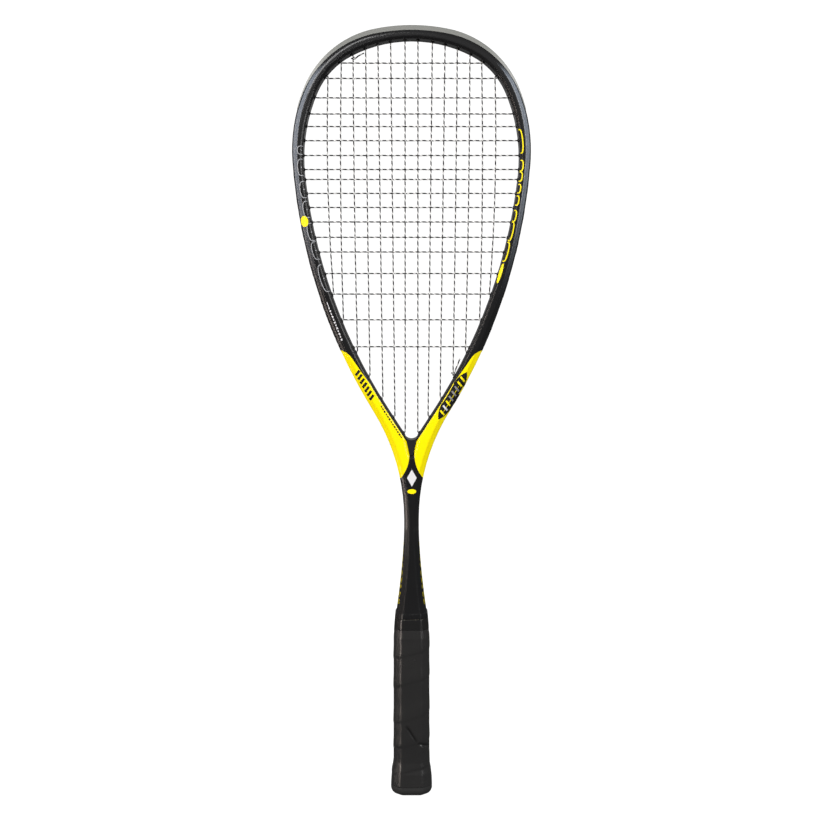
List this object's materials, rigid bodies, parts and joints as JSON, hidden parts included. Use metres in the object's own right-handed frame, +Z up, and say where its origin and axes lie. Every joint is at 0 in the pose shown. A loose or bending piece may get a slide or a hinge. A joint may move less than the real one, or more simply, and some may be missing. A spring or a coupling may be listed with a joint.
{
  "type": "squash racket",
  "caption": "Squash racket with a teardrop hoop, woven string bed, slim shaft and wrapped handle.",
  "frame": {"origin": "centre of the butt cap's flat end, at the bottom of the handle", "axes": "+Z up the racket from butt to tip, +X across the string bed, +Y through the string bed"},
  "size_m": [0.2088, 0.034, 0.685],
  "materials": {
    "painted_graphite": "clear-coated paint: black, slate grey and yellow",
    "bridge_plastic": "moulded, semi-gloss black",
    "guard_nylon": "moulded, light grey matte",
    "grommet_nylon": "moulded, black satin",
    "string_nylon": "black multifilament with a pale spiral tracer",
    "handle_foam": "moulded polyurethane foam",
    "cap_plastic": "moulded, black satin",
    "staple_steel": "bright wire",
    "adhesive_film": "double-sided tape",
    "grip_polyurethane": "soft tacky charcoal wrap",
    "tape_vinyl": "glossy black vinyl",
    "collar_rubber": "black rubber, satin"
  },
  "bodies": {
    "root": {"frame": "painted_graphite", "throat_bridge": "bridge_plastic", "bumper_guard": "guard_nylon", "head_grommet_strip": "grommet_nylon", "left_side_grommet_strip": "grommet_nylon", "right_side_grommet_strip": "grommet_nylon", "left_throat_grommet_strip": "grommet_nylon", "right_throat_grommet_strip": "grommet_nylon", "string": "string_nylon", "handle_half_front": "handle_foam", "handle_half_back": "handle_foam", "core_plug": "handle_foam", "butt_cap": "cap_plastic", "butt_cap_staples": "staple_steel", "grip_adhesive_strips": "adhesive_film", "grip_tape": "grip_polyurethane", "finishing_tape": "tape_vinyl", "grip_collar": "collar_rubber"}
  },
  "joints": []
}
